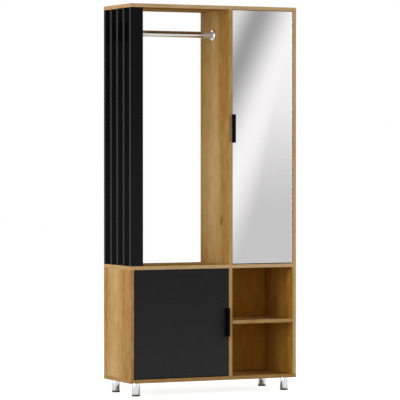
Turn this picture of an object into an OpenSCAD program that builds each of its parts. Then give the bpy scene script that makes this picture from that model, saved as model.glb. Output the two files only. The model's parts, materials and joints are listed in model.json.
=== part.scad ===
// Wardrobe with an open hanging bay, a mirror door over a column of shelves,
// a low cabinet with a dark door and two open compartments, on four round legs.
// Body coordinates: x from the left side, y from the front edges back, z from the floor.

/* [Body] */
// Width over the side panels
body_w = 900; // [840:10:1200]
// Depth of the panels from front edge to back edge
body_d = 330; // [300:5:450]
// Height of the body without its legs
body_h = 1842; // [1700:1:2100]
// Thickness of the oak boards
board_t = 18; // [16:1:22]
// Clear height of the low part
lower_h = 533; // [480:1:640]
// Clear width of the right column
column_w = 335; // [300:5:380]

/* [Back sheets] */
// Thickness of the back sheets
back_t = 3; // [2.5:0.5:5]
// Depth of the grooves that hold the back sheets
groove_depth = 5; // [3:0.5:5.5]
// Distance from the rear edge of the body to the grooves
groove_inset = 22; // [20:1:30]

/* [Shelves] */
// Thickness of the shelves that lie on pins
shelf_t = 18; // [16:1:22]
// Clearance between the swinging door edge and the shelves behind it
shelf_clear = 3; // [2:0.5:20]
// Diameter of a shelf pin
pin_d = 5; // [4:0.5:6]
// Length of a shelf pin, half of it in the panel
pin_len = 14; // [12:1:15]
// Distance from a shelf's front and back edges to its pins
pin_inset = 37; // [25:1:60]

/* [Slats and rail] */
// Width of an upright slat
slat_w = 66; // [60:1:100]
// Thickness of an upright slat
slat_t = 18; // [16:1:24]
// Height of the batten between the slats that carries the rail
batten_h = 90; // [75:1:140]
// Thickness of the rail batten
batten_t = 18; // [16:1:24]
// Diameter of the hanging rail
rail_d = 32; // [25:1:35]
// Wall of the hanging rail tube
rail_wall = 1.5; // [1:0.25:3]
// Distance from the top panel down to the middle of the rail
rail_drop = 119; // [80:1:160]
// Diameter of the round rail socket
socket_d = 55; // [54:1:60]
// Depth of the round rail socket
socket_depth = 16; // [14:1:24]

/* [Doors] */
// Thickness of a door board
door_t = 16; // [15:0.5:19]
// Thickness of the mirror glass
glass_t = 3; // [2:0.5:4]
// Step from the front edges of the body back to the door faces
door_recess = 1; // [0.5:0.5:2]
// Gap between a door and the panel that it hangs on
gap_hinge = 4; // [3.5:0.5:5]
// Gap between a door and the divider
gap_handle = 1.5; // [1.5:0.5:3]
// Gap above a door
gap_top = 2.4; // [2:0.1:4]
// Gap below a door, where its lower bush runs
gap_bottom = 4; // [3:0.5:6]

/* [Handles] */
// Length of a handle
handle_len = 140; // [100:1:200]
// Distance that a handle stands out from its door
handle_proud = 20; // [16:1:26]
// Width of the handle's foot on the door
handle_foot_w = 20; // [18:1:24]
// Width of the handle's front lip
handle_lip_w = 13; // [10:0.5:16]
// Wall of the handle's web and lip
handle_wall = 2.5; // [2:0.25:4]
// Height of the mirror door's handle above the body's underside
mirror_handle_h = 1239; // [1000:1:1400]
// Distance that the mirror door's handle reaches past the door edge
mirror_handle_over = 3.5; // [2:0.5:4]
// Distance from the dark door's edge to its handle
dark_handle_in = 1.5; // [0:0.5:6]

/* [Legs] */
// Height of a leg with its glide
leg_h = 65; // [60:1:120]
// Diameter of a leg
leg_d = 38; // [30:1:50]
// Wall of the leg tube
leg_wall = 1.5; // [1:0.25:3]
// Distance from the sides of the body to the leg centres
leg_inset_x = 46; // [36:1:80]
// Distance from the front and back of the body to the leg centres
leg_inset_y = 42; // [36:1:70]
// Height of the dark glide under a leg
glide_h = 8; // [5:1:14]
// Step from the leg out to the rim of its glide
glide_step = 1; // [0.5:0.5:3]

/* [Pivots] */
// Diameter of a door's pivot pin
pivot_d = 6; // [5:0.5:8]
// Outer diameter of the bush in the door edge
bush_d = 10; // [10:0.5:12]
// Length of the bush in the door edge
bush_len = 18; // [14:1:30]
// Thickness of a pivot plate
plate_t = 2; // [1.5:0.5:2.5]
// Width of a pivot plate
plate_w = 22; // [20:1:28]
// Space kept between a door's turning corner and the panel beside it
corner_clear = 0.8; // [0.6:0.1:1.2]

/* [Fittings] */
// Diameter of a cam lock
cam_d = 15; // [12:0.5:16]
// Depth of a cam lock
cam_depth = 12.5; // [11:0.5:13.5]
// Distance from a cam lock to the end of its board
cam_reach = 34; // [24:1:40]
// Diameter of a cam bolt
bolt_d = 6; // [5:0.5:7]
// Depth that bolts and dowels go into the face of a board
face_embed = 10; // [8:0.5:11]
// Diameter of a wooden dowel
dowel_d = 8; // [6:0.5:10]
// Length of a wooden dowel
dowel_len = 28; // [24:1:40]
// Diameter of the long screws through the boards
long_screw_d = 5; // [4:0.5:6]
// Length of the long screws through the boards
long_screw_len = 50; // [40:1:60]
// Diameter of the short wood screws
wood_screw_d = 3.5; // [3:0.5:4]
// Length of the short wood screws
wood_screw_len = 12; // [10:1:13]
// Width of the steel angle that ties the body to a wall
angle_w = 240; // [180:5:260]
// Length of each leg of the steel angle
angle_leg = 34; // [30:1:45]
// Thickness of the steel angle
angle_t = 2; // [1.5:0.5:3]
// Diameter of the wall screw holes in the steel angle
wall_hole_d = 6; // [5:0.5:8]
// Distance between the wall screw holes
wall_hole_pitch = 180; // [120:5:200]

/* [Hidden] */
$fn = 48;

// Colours
OAK = [0.76, 0.6, 0.4];
OAK_BACK = [0.7, 0.54, 0.34];
BLACK = [0.1, 0.1, 0.11];
CHARCOAL = [0.2, 0.2, 0.21];
CHROME = [0.86, 0.87, 0.88];
STEEL = [0.66, 0.67, 0.69];
MIRROR = [0.8, 0.84, 0.87];
BEECH = [0.82, 0.7, 0.5];
NYLON = [0.13, 0.13, 0.14];

// Clearance round a fitting in its hole and beside a sheet in its groove
fit = 0.1;
// Clearance of a turning pin in its bush
turn_fit = 0.05;
// Space between a moving piece and a fixed one that it comes to rest by
rest_gap = 0.3;
// Length that a cut runs past an open face
cut = 1;

// Levels of the boards
z_floor = leg_h + board_t;
z_mid0 = z_floor + lower_h;
z_mid1 = z_mid0 + board_t;
z_top1 = leg_h + body_h;
z_top0 = z_top1 - board_t;
z_rail = z_top0 - rail_drop;

// Faces of the uprights
x_in0 = board_t;
x_in1 = body_w - board_t;
x_div1 = x_in1 - column_w;
x_div0 = x_div1 - board_t;
half_t = board_t / 2;

// Groove and back sheet
groove_w = back_t + 2 * fit;
groove_y = body_d - groove_inset - groove_w;
sheet_reach = groove_depth - 0.5;

// The front of the body stands back by half of what the handles reach out
handle_reach = handle_proud - door_recess;
front_y = (handle_reach - body_d) / 2;

// Slats stand evenly from the front edge to the back edge
SLATS = 5;
slat_pitch = (body_d - slat_t) / (SLATS - 1);
function slat_y(i) = (i - 1) * slat_pitch;
batten_x0 = slat_w - batten_t;
rail_y = body_d / 2;

// Doors: outer edges and the pivot line of each
mirror_x0 = x_div1 + gap_handle;
mirror_x1 = x_in1 - gap_hinge;
mirror_z0 = z_mid1 + gap_bottom;
mirror_z1 = z_top0 - gap_top;
dark_x0 = x_in0 + gap_hinge;
dark_x1 = x_div0 - gap_handle;
dark_z0 = z_floor + gap_bottom;
dark_z1 = z_mid0 - gap_top;
mirror_y0 = door_recess + glass_t;
mirror_y1 = mirror_y0 + door_t;
dark_y1 = door_recess + door_t;

// The pivot sits so far in from the door edge that the front corner, on its
// arc round the pin, keeps corner_clear from the panel beside it
corner_room = gap_hinge - corner_clear;
pin_behind = glass_t + door_t / 2;
pivot_in = (pow(pin_behind, 2) - pow(corner_room, 2)) / (2 * corner_room);
mirror_pivot_x = mirror_x1 - pivot_in;
mirror_pivot_y = mirror_y0 + door_t / 2;
dark_pivot_x = dark_x0 + pivot_in;
dark_pivot_y = door_recess + door_t / 2;
// Reach of the turning door edge behind the pin, which the shelves stay clear of
edge_sweep = norm([pivot_in, door_t / 2]);
shelf_y0 = mirror_pivot_y + edge_sweep + shelf_clear;
pin_rise = bush_len - 4;
plate_screw_1 = edge_sweep + 6;
plate_screw_2 = plate_screw_1 + 20;
plate_back = plate_screw_2 + 8;
// Reach of a pivot plate in front of its pin, short of the board's front edge
plate_nose = pivot_d / 2 + 3.5;

// Shelf heights: the open and the cabinet shelf halve their space
z_half = z_floor + (lower_h - shelf_t) / 2;
COLUMN_SHELVES = 4;
column_pitch = (z_top0 - z_mid1 + shelf_t) / (COLUMN_SHELVES + 1);
function column_z(i) = z_mid1 + i * column_pitch - shelf_t;
shelf_y1 = groove_y;

// Handle middles
z_mirror_handle = leg_h + mirror_handle_h;
z_dark_handle = (dark_z0 + dark_z1) / 2;
handle_foot_t = 4;
handle_screw_pitch = 96;
handle_screw_d = 4;

// Magnetic catches behind the doors' free edges
catch_size = [14, 20, 46];
strike_t = 1.5;
strike_w = 14;
// each is halfway up a space between two shelves
catch_mirror_z = [(z_mid1 + column_z(1)) / 2, (column_z(COLUMN_SHELVES) + shelf_t + z_top0) / 2];
catch_dark_z = (z_floor + z_half) / 2;

// Fittings along the depth
cam_ys = [95, body_d - 75];
cam_ys_above = [125, body_d - 105];
base_ys = [60, body_d - 60];
dowel_y = body_d / 2 - 25;
dowel_y_above = body_d / 2 + 25;
slat_dowel_x = 16;
slat_screw_x = slat_w - 9;
long_head_d = 9;
long_head_h = 3.5;
wood_head_d = 6.4;
wood_head_h = 2;
leg_bolt_d = 8;
leg_bolt_len = 26;
leg_bolt_embed = 7;
catch_screw_z = 16;
socket_floor = 3;
socket_screw_r = 9;

// A hole or fitting is [start, direction, diameter, length]
function drill(p, dir, d, len) = [p, dir, d, len];
function drill_low(h, k) = min(h[0][k], h[0][k] + h[1][k] * h[3]) - (h[1][k] == 0 ? h[2] / 2 : 0);
function drill_high(h, k) = max(h[0][k], h[0][k] + h[1][k] * h[3]) + (h[1][k] == 0 ? h[2] / 2 : 0);
function hits(lo, hi, h, k = 0) =
    k == 3 ? true : drill_low(h, k) < hi[k] && drill_high(h, k) > lo[k] && hits(lo, hi, h, k + 1);
function turn(dir) =
    dir.z > 0 ? [0, 0, 0] : dir.z < 0 ? [180, 0, 0] :
    dir.x != 0 ? [0, 90 * dir.x, 0] : [-90 * dir.y, 0, 0];
UP = [0, 0, 1];
DOWN = [0, 0, -1];
RIGHT = [1, 0, 0];
LEFT = [-1, 0, 0];
BACK = [0, 1, 0];
FRONT = [0, -1, 0];

// Cam locks: [middle on the board's face, outward normal, direction of the bolt]
CAMS = [
    for (y = cam_ys) [[x_in0, y, z_mid0 - cam_reach], RIGHT, UP],
    for (y = cam_ys) [[x_div0, y, z_mid0 - cam_reach], LEFT, UP],
    for (y = cam_ys_above) [[x_div1, y, z_mid1 + cam_reach], RIGHT, DOWN],
    for (y = cam_ys_above) [[x_div1, y, z_top0 - cam_reach], RIGHT, UP],
    for (y = cam_ys) [[x_in1, y, z_top0 - cam_reach], LEFT, UP],
    for (y = cam_ys) [[x_in1 - cam_reach, y, z_mid0], DOWN, RIGHT]
];
CAM_HOLES = [for (c = CAMS) drill(c[0] + c[1] * cut, -c[1], cam_d + 2 * fit, cam_depth + cut + fit)];
BOLTS = [
    for (c = CAMS) drill(c[0] - c[1] * half_t + c[2] * 1.5, c[2], bolt_d, cam_reach - 1.5 + face_embed)
];

// Dowels start in the face of the flat board and run into the end of the upright
function dowel(p, dir) = drill(p - dir * face_embed, dir, dowel_d, dowel_len);
DOWELS = [
    for (i = [1:SLATS]) dowel([slat_dowel_x, slat_y(i) + slat_t / 2, z_mid1], UP),
    for (i = [1:SLATS]) dowel([slat_dowel_x, slat_y(i) + slat_t / 2, z_top0], DOWN),
    for (x = [half_t, x_div0 + half_t, body_w - half_t]) dowel([x, dowel_y, z_floor], UP),
    for (x = [half_t, x_div0 + half_t]) dowel([x, dowel_y, z_mid0], DOWN),
    dowel([x_div0 + half_t, dowel_y_above, z_mid1], UP),
    for (x = [x_div0 + half_t, body_w - half_t]) dowel([x, dowel_y_above, z_top0], DOWN),
    dowel([x_in1, dowel_y, z_mid0 + half_t], LEFT)
];

// Long screws: up through the bottom panel, and through the flat boards and the batten into the slats
BASE_SCREWS = [
    for (x = [half_t, x_div0 + half_t, body_w - half_t], y = base_ys)
        drill([x, y, leg_h], UP, long_screw_d, long_screw_len)
];
SLAT_SCREWS = [
    for (i = [1:SLATS]) drill([slat_screw_x, slat_y(i) + slat_t / 2, z_mid0], UP, long_screw_d, long_screw_len),
    for (i = [1:SLATS]) drill([slat_screw_x, slat_y(i) + slat_t / 2, z_top1], DOWN, long_screw_d, long_screw_len),
    for (i = [2:SLATS - 1]) drill([slat_w, slat_y(i) + slat_t / 2, z_rail], LEFT, long_screw_d, long_screw_len)
];

// Short wood screws: [seat of the head, direction]
function plate_screws(x, y, z, dir) = [for (s = [plate_screw_1, plate_screw_2]) [[x, y + s, z], dir]];
function catch_screws(x, y, z, dir) = [
    for (s = [-1, 1]) [[x, y + rest_gap + catch_size.y / 2, z + s * catch_screw_z], dir]
];
angle_y = groove_y - angle_t;
WOOD_SCREWS = [
    each plate_screws(mirror_pivot_x, mirror_pivot_y, z_mid1, DOWN),
    each plate_screws(mirror_pivot_x, mirror_pivot_y, z_top0, UP),
    each plate_screws(dark_pivot_x, dark_pivot_y, z_floor, DOWN),
    each plate_screws(dark_pivot_x, dark_pivot_y, z_mid0, UP),
    for (z = catch_mirror_z) each catch_screws(x_div1 + 3, mirror_y1, z, LEFT),
    each catch_screws(x_div0 - 3, dark_y1, catch_dark_z, RIGHT),
    for (s = [-1, 1]) [[slat_w + socket_floor, rail_y, z_rail + s * socket_screw_r], LEFT],
    for (s = [-1, 1]) [[x_div0 - socket_floor, rail_y, z_rail + s * socket_screw_r], RIGHT],
    for (s = [-1, 1]) [[x_div1 + column_w / 2 + s * wall_hole_pitch / 2, angle_y - angle_leg / 2, z_top0 - angle_t], UP]
];
WOOD_HOLES = [for (s = WOOD_SCREWS) drill(s[0], s[1], wood_screw_d + 2 * turn_fit, wood_screw_len + fit)];

// Shelf pins: half in the panel, half under the shelf
function pins(x0, x1, y0, z) = [
    for (y = [y0 + pin_inset, shelf_y1 - pin_inset], s = [[x0, LEFT], [x1, RIGHT]])
        drill([s[0], y, z - pin_d / 2 - fit] - s[1] * pin_len / 2, s[1], pin_d, pin_len)
];
SHELF_PINS = [
    each pins(x_div1, x_in1, 0, z_half),
    each pins(x_in0, x_div0, shelf_y0, z_half),
    for (i = [1:COLUMN_SHELVES]) each pins(x_div1, x_in1, shelf_y0, column_z(i))
];

// Legs: [x, y] of each centre, and the bolt that holds it
LEG_FL = [leg_inset_x, leg_inset_y];
LEG_FR = [body_w - leg_inset_x, leg_inset_y];
LEG_BL = [leg_inset_x, body_d - leg_inset_y];
LEG_BR = [body_w - leg_inset_x, body_d - leg_inset_y];
LEG_BOLTS = [
    for (p = [LEG_FL, LEG_FR, LEG_BL, LEG_BR])
        drill([p.x, p.y, leg_h + leg_bolt_embed], DOWN, leg_bolt_d, leg_bolt_len)
];
LEG_HOLES = [for (h = LEG_BOLTS) drill(h[0] + UP * fit, DOWN, h[2] + 2 * turn_fit, h[3] + 2 * fit)];

// Every hole that a plain board may take
function wider(list, by) = [for (h = list) drill(h[0] - h[1] * by, h[1], h[2] + 2 * by, h[3] + 2 * by)];
HOLES = concat(
    CAM_HOLES, wider(BOLTS, fit), wider(DOWELS, turn_fit), wider(BASE_SCREWS, turn_fit),
    wider(SLAT_SCREWS, turn_fit), WOOD_HOLES, wider(SHELF_PINS, turn_fit), LEG_HOLES
);
LONG_HEADS = [
    for (h = concat(BASE_SCREWS, SLAT_SCREWS))
        drill(h[0] - h[1] * cut, h[1], long_head_d + 2 * fit, long_head_h + cut + fit)
];

// Moves body coordinates to the part's origin under its middle
module in_frame() {
    translate([-body_w / 2, front_y, 0]) children();
}

module place(h) {
    translate(h[0]) rotate(turn(h[1])) children();
}

// Box between two corners
module slab(lo, hi) {
    translate(lo) cube(hi - lo);
}

// Board with every hole that reaches it
module board(lo, hi) {
    difference() {
        slab(lo, hi);
        for (h = concat(HOLES, LONG_HEADS))
            if (hits(lo, hi, h)) place(h) cylinder(h = h[3], d = h[2]);
    }
}

// Pocket for a pivot plate, cut into a board's face
module plate_pocket(x, y, z, dir) {
    translate([x, y, z - dir.z * (plate_t + fit)]) rotate(turn(dir)) linear_extrude(plate_t + fit + cut)
        mirror([0, dir.z < 0 ? 1 : 0]) plate_outline(plate_w + 2 * fit, fit);
}

// Outline of a pivot plate, pin at the origin: blunt nose before it, screws and a round tail behind it
module plate_outline(width, more = 0) {
    tail = plate_back - width / 2 + more;
    nose = plate_nose + more;
    corner_r = 3;
    translate([-width / 2, corner_r - nose]) square([width, tail + nose - corner_r]);
    translate([corner_r - width / 2, -nose]) square([width - 2 * corner_r, corner_r]);
    for (s = [-1, 1]) translate([s * (width / 2 - corner_r), corner_r - nose]) circle(r = corner_r);
    translate([0, tail]) circle(d = width);
}

module bottom_panel() {
    color(OAK) in_frame() difference() {
        board([0, 0, leg_h], [body_w, body_d, z_floor]);
        slab([x_in0 - groove_depth, groove_y, z_floor - groove_depth],
            [x_in1 + groove_depth, groove_y + groove_w, z_floor + cut]);
        plate_pocket(dark_pivot_x, dark_pivot_y, z_floor, UP);
    }
}

module top_panel() {
    color(OAK) in_frame() difference() {
        board([0, 0, z_top0], [body_w, body_d, z_top1]);
        slab([x_div1 - groove_depth, groove_y, z_top0 - cut],
            [x_in1 + groove_depth, groove_y + groove_w, z_top0 + groove_depth]);
        plate_pocket(mirror_pivot_x, mirror_pivot_y, z_top0, DOWN);
    }
}

module mid_shelf() {
    color(OAK) in_frame() difference() {
        board([0, 0, z_mid0], [x_in1, body_d, z_mid1]);
        slab([x_in0 - groove_depth, groove_y, z_mid0 - cut],
            [x_in1 + cut, groove_y + groove_w, z_mid0 + groove_depth]);
        slab([x_div1 - groove_depth, groove_y, z_mid1 - groove_depth],
            [x_in1 + cut, groove_y + groove_w, z_mid1 + cut]);
        plate_pocket(mirror_pivot_x, mirror_pivot_y, z_mid1, UP);
        plate_pocket(dark_pivot_x, dark_pivot_y, z_mid0, DOWN);
    }
}

module left_side_panel() {
    color(OAK) in_frame() difference() {
        board([0, 0, z_floor], [x_in0, body_d, z_mid0]);
        slab([x_in0 - groove_depth, groove_y, z_floor - cut],
            [x_in0 + cut, groove_y + groove_w, z_mid0 + cut]);
    }
}

module right_side_panel() {
    color(OAK) in_frame() difference() {
        board([x_in1, 0, z_floor], [body_w, body_d, z_top0]);
        slab([x_in1 - cut, groove_y, z_floor - cut],
            [x_in1 + groove_depth, groove_y + groove_w, z_top0 + cut]);
    }
}

module lower_divider() {
    color(OAK) in_frame() board([x_div0, 0, z_floor], [x_div1, groove_y, z_mid0]);
}

module upper_divider() {
    color(OAK) in_frame() difference() {
        board([x_div0, 0, z_mid1], [x_div1, body_d, z_top0]);
        slab([x_div1 - groove_depth, groove_y, z_mid1 - cut],
            [x_div1 + cut, groove_y + groove_w, z_top0 + cut]);
    }
}

// Loose shelf on pins between two uprights
module shelf(x0, x1, y0, z) {
    color(OAK) in_frame() slab([x0 + fit, y0, z], [x1 - fit, shelf_y1, z + shelf_t]);
}

module open_shelf() {
    shelf(x_div1, x_in1, 0, z_half);
}

module cabinet_shelf() {
    shelf(x_in0, x_div0, shelf_y0, z_half);
}

module column_shelf(i) {
    shelf(x_div1, x_in1, shelf_y0, column_z(i));
}

module lower_back() {
    color(OAK_BACK) in_frame()
        slab([x_in0 - sheet_reach, groove_y + fit, z_floor - sheet_reach],
            [x_in1 + sheet_reach, groove_y + fit + back_t, z_mid0 + sheet_reach]);
}

// The column's back has holes for the wall screws of the steel angle
module column_back() {
    color(OAK_BACK) in_frame() difference() {
        slab([x_div1 - sheet_reach, groove_y + fit, z_mid1 - sheet_reach],
            [x_in1 + sheet_reach, groove_y + fit + back_t, z_top0 + sheet_reach]);
        wall_holes(wall_hole_d * 2);
    }
}

module wall_holes(d) {
    for (s = [-1, 1])
        translate([x_div1 + column_w / 2 + s * wall_hole_pitch / 2, angle_y - cut, z_top0 - angle_leg * 0.62])
            rotate([-90, 0, 0]) cylinder(h = body_d, d = d);
}

// Upright slat, notched for the batten where the batten passes it
module slat(i) {
    color(BLACK) in_frame() difference() {
        board([0, slat_y(i), z_mid1], [slat_w, slat_y(i) + slat_t, z_top0]);
        if (i > 1 && i < SLATS)
            slab([batten_x0 - fit, slat_y(i) - cut, z_rail - batten_h / 2 - fit],
                [slat_w + cut, slat_y(i) + slat_t + cut, z_rail + batten_h / 2 + fit]);
    }
}

module rail_batten() {
    color(BLACK) in_frame()
        board([batten_x0, slat_y(1) + slat_t + fit, z_rail - batten_h / 2],
            [slat_w, slat_y(SLATS) - fit, z_rail + batten_h / 2]);
}

module hanging_rail() {
    color(CHROME) in_frame() translate([slat_w + socket_floor + fit, rail_y, z_rail]) rotate([0, 90, 0])
        difference() {
            length = x_div0 - slat_w - 2 * socket_floor - 2 * fit;
            cylinder(h = length, d = rail_d);
            translate([0, 0, -cut]) cylinder(h = length + 2 * cut, d = rail_d - 2 * rail_wall);
        }
}

// Turned socket: a thick round shell about a collar for the rail, screwed on through the collar's floor
module rail_socket() {
    outer_r = socket_d / 2;
    round_r = 6;
    wall = 2.2;
    bore_r = rail_d / 2 + turn_fit;
    collar_r = bore_r + wall;
    difference() {
        rotate_extrude() difference() {
            union() {
                square([outer_r, socket_depth - round_r]);
                square([outer_r - round_r, socket_depth]);
                translate([outer_r - round_r, socket_depth - round_r]) circle(r = round_r);
            }
            translate([collar_r, -cut]) square([outer_r - wall - collar_r, socket_depth - round_r - wall + cut]);
        }
        translate([0, 0, socket_floor]) cylinder(h = socket_depth, r = bore_r);
        for (s = [-1, 1]) translate([s * socket_screw_r, 0, 0]) screw_seat(socket_floor);
    }
}

// Countersunk hole for a wood screw through a plate whose outer face is at t
module screw_seat(t) {
    translate([0, 0, -cut]) cylinder(h = t + 2 * cut, d = wood_screw_d + 2 * fit);
    translate([0, 0, t - wood_head_h]) cylinder(h = wood_head_h, d1 = wood_screw_d + 2 * fit, d2 = wood_head_d + 2 * fit);
    translate([0, 0, t]) cylinder(h = cut, d = wood_head_d + 2 * fit);
}

module rail_socket_left() {
    color(CHROME) in_frame() translate([slat_w, rail_y, z_rail]) rotate([0, 90, 0]) rail_socket();
}

module rail_socket_right() {
    color(CHROME) in_frame() translate([x_div0, rail_y, z_rail]) rotate([0, -90, 0]) rail_socket();
}

// Leg tube with a solid head that takes its bolt
module leg(p) {
    head = leg_bolt_len - leg_bolt_embed + 4;
    color(CHROME) in_frame() difference() {
        translate([p.x, p.y, glide_h]) cylinder(h = leg_h - glide_h, d = leg_d);
        translate([p.x, p.y, glide_h - cut]) cylinder(h = leg_h - glide_h - head + cut, d = leg_d - 2 * leg_wall);
        for (h = LEG_HOLES) if (norm([h[0].x - p.x, h[0].y - p.y]) < 1) place(h) cylinder(h = h[3], d = h[2]);
    }
}

// Glide with a plug in the tube, a rim under it and a rounded lower edge
module glide(p) {
    rim_r = leg_d / 2 + glide_step;
    round_r = 2;
    plug_r = leg_d / 2 - leg_wall - fit;
    color(BLACK) in_frame() translate([p.x, p.y, 0]) rotate_extrude() {
        square([rim_r - round_r, glide_h]);
        translate([0, round_r]) square([rim_r, glide_h - round_r]);
        translate([rim_r - round_r, round_r]) circle(r = round_r);
        square([plug_r, glide_h + 10]);
    }
}

module leg_bolts() {
    color(STEEL) in_frame() for (h = LEG_BOLTS) place(h) cylinder(h = h[3], d = h[2]);
}

module shelf_pins() {
    color(STEEL) in_frame() for (h = SHELF_PINS) place(h) cylinder(h = h[3], d = h[2]);
}

// Cam lock: disc with a driver slot and a side bore for the bolt's head
module cam_locks() {
    color(STEEL) in_frame() for (c = CAMS) difference() {
        translate(c[0]) rotate(turn(-c[1])) difference() {
            cylinder(h = cam_depth, d = cam_d);
            translate([-cam_d / 3, -0.75, -cut]) cube([cam_d * 2 / 3, 1.5, 3]);
        }
        translate(c[0] - c[1] * half_t) rotate(turn(c[2])) cylinder(h = cam_d, d = bolt_d + 4 * fit);
    }
}

module cam_bolts() {
    color(STEEL) in_frame() for (h = BOLTS) place(h) cylinder(h = h[3], d = h[2]);
}

module dowels() {
    color(BEECH) in_frame() for (h = DOWELS) place(h) cylinder(h = h[3], d = h[2]);
}

// Screw with a straight shank, a pointed end and a cone or flat head
module screw(d, len, head_d, head_h, cone) {
    tip = d;
    rotate_extrude() polygon([
        [0, 0], [head_d / 2, 0], [cone ? d / 2 : head_d / 2, head_h], [d / 2, head_h],
        [d / 2, len - tip], [0, len]
    ]);
}

module base_screws() {
    color(STEEL) in_frame() for (h = BASE_SCREWS) place(h) screw(h[2], h[3], long_head_d, long_head_h, false);
}

module slat_screws() {
    color(STEEL) in_frame() for (h = SLAT_SCREWS) place(h) screw(h[2], h[3], long_head_d, long_head_h, false);
}

module wood_screws() {
    color(STEEL) in_frame() for (s = WOOD_SCREWS) place(s)
        screw(wood_screw_d, wood_screw_len, wood_head_d, wood_head_h, true);
}

// Steel angle under the top panel and against the column's back
module wall_angle() {
    x0 = x_div1 + (column_w - angle_w) / 2;
    color(STEEL) in_frame() difference() {
        union() {
            slab([x0, angle_y, z_top0 - angle_leg], [x0 + angle_w, groove_y, z_top0]);
            slab([x0, groove_y - angle_leg, z_top0 - angle_t], [x0 + angle_w, groove_y, z_top0]);
        }
        wall_holes(wall_hole_d);
        for (s = [-1, 1])
            translate([x_div1 + column_w / 2 + s * wall_hole_pitch / 2, angle_y - angle_leg / 2, z_top0])
                rotate([180, 0, 0]) screw_seat(angle_t);
    }
}

// Door board with bush holes at its ends, screw holes for the handle and strike pockets
module door_board(lo, hi, pivot, handle_x, handle_z, strike_x, strike_zs) {
    difference() {
        slab(lo, hi);
        for (z = [lo.z - cut, hi.z - bush_len - fit])
            translate([pivot.x, pivot.y, z]) cylinder(h = bush_len + fit + cut, d = bush_d + 2 * turn_fit);
        handle_holes(handle_x, lo.y - cut, handle_z, door_t + 2 * cut, handle_screw_d + 2 * fit);
        handle_holes(handle_x, hi.y - 3, handle_z, 3 + cut, 2 * handle_screw_d + 2 * fit);
        for (z = strike_zs) slab([strike_x - fit, hi.y - strike_t, z - catch_size.z / 2 - fit],
            [strike_x + strike_w + fit, hi.y + cut, z + catch_size.z / 2 + fit]);
    }
}

// The two holes of a handle, along the depth
module handle_holes(x, y, z, len, d) {
    for (s = [-1, 1]) translate([x, y, z + s * handle_screw_pitch / 2]) rotate([-90, 0, 0]) cylinder(h = len, d = d);
}

mirror_handle_x = mirror_x0 - mirror_handle_over;
mirror_screw_x = mirror_handle_x + handle_foot_w * 0.65;
dark_handle_x = dark_x1 - dark_handle_in;
dark_screw_x = dark_handle_x - handle_foot_w * 0.65;
mirror_strike_x = x_div1 + gap_handle + 1;
dark_strike_x = x_div0 - gap_handle - 1 - strike_w;

module mirror_board() {
    color(CHARCOAL) in_frame()
        door_board([mirror_x0, mirror_y0, mirror_z0], [mirror_x1, mirror_y1, mirror_z1],
            [mirror_pivot_x, mirror_pivot_y], mirror_screw_x, z_mirror_handle, mirror_strike_x, catch_mirror_z);
}

module mirror_glass() {
    color(MIRROR) in_frame() difference() {
        slab([mirror_x0, door_recess, mirror_z0], [mirror_x1, mirror_y0, mirror_z1]);
        handle_holes(mirror_screw_x, door_recess - cut, z_mirror_handle, glass_t + 2 * cut, handle_screw_d + 2);
    }
}

module dark_board() {
    color(CHARCOAL) in_frame()
        door_board([dark_x0, door_recess, dark_z0], [dark_x1, dark_y1, dark_z1],
            [dark_pivot_x, dark_pivot_y], dark_screw_x, z_dark_handle, dark_strike_x, [catch_dark_z]);
}

// Handle profile: foot on the door, web at the free edge and lip with a beaded edge.
// The web is at x = 0 and the profile opens to +x, standing out to -y.
module handle_profile() {
    bead = handle_wall * 0.7;
    translate([0, -handle_foot_t]) square([handle_foot_w - 1, handle_foot_t]);
    translate([handle_foot_w - 1, -handle_foot_t + 1]) square([1, handle_foot_t - 1]);
    translate([handle_foot_w - 1, -handle_foot_t + 1]) circle(r = 1);
    translate([0, -handle_proud + 1]) square([handle_wall, handle_proud - 1]);
    translate([1, -handle_proud]) square([handle_lip_w - bead - 1, handle_wall]);
    translate([1, -handle_proud + 1]) circle(r = 1);
    translate([handle_lip_w - bead, -handle_proud + bead]) circle(r = bead);
}

module handle_bar(over) {
    difference() {
        linear_extrude(handle_len, center = true) handle_profile();
        // relief that lets a handle reach past the door's edge in front of the divider
        if (over > 0) translate([-cut, -door_recess - 0.6, -handle_len]) cube([over + cut, 10, 2 * handle_len]);
        for (s = [-1, 1]) translate([handle_foot_w * 0.65, cut, s * handle_screw_pitch / 2])
            rotate([90, 0, 0]) cylinder(h = 3 + cut, d = handle_screw_d + 2 * turn_fit);
    }
}

module mirror_handle() {
    color(BLACK) in_frame() translate([mirror_handle_x, door_recess, z_mirror_handle])
        handle_bar(mirror_handle_over);
}

module dark_handle() {
    color(BLACK) in_frame() translate([dark_handle_x, door_recess, z_dark_handle]) mirror([1, 0, 0])
        handle_bar(-dark_handle_in);
}

// Handle screws from the back of the door into the handle's foot
module handle_screws(x, y_back, z) {
    head_h = 2.6;
    reach = y_back - 3 + head_h - door_recess + 3 - fit;
    for (s = [-1, 1]) translate([x, y_back - 3 + head_h, z + s * handle_screw_pitch / 2]) rotate([90, 0, 0])
        screw(handle_screw_d, reach, 2 * handle_screw_d, head_h, false);
}

module mirror_handle_screws() {
    color(STEEL) in_frame() handle_screws(mirror_screw_x, mirror_y1, z_mirror_handle);
}

module dark_handle_screws() {
    color(STEEL) in_frame() handle_screws(dark_screw_x, dark_y1, z_dark_handle);
}

// Flanged bush pressed into a door's end, flange towards the plate
module bush(flange_t) {
    difference() {
        union() {
            cylinder(h = bush_len, d = bush_d);
            translate([0, 0, -flange_t]) cylinder(h = flange_t, d = bush_d + 4);
        }
        translate([0, 0, -flange_t - cut]) cylinder(h = flange_t + cut + bush_len - 2, d = pivot_d + 2 * turn_fit);
    }
}

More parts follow.
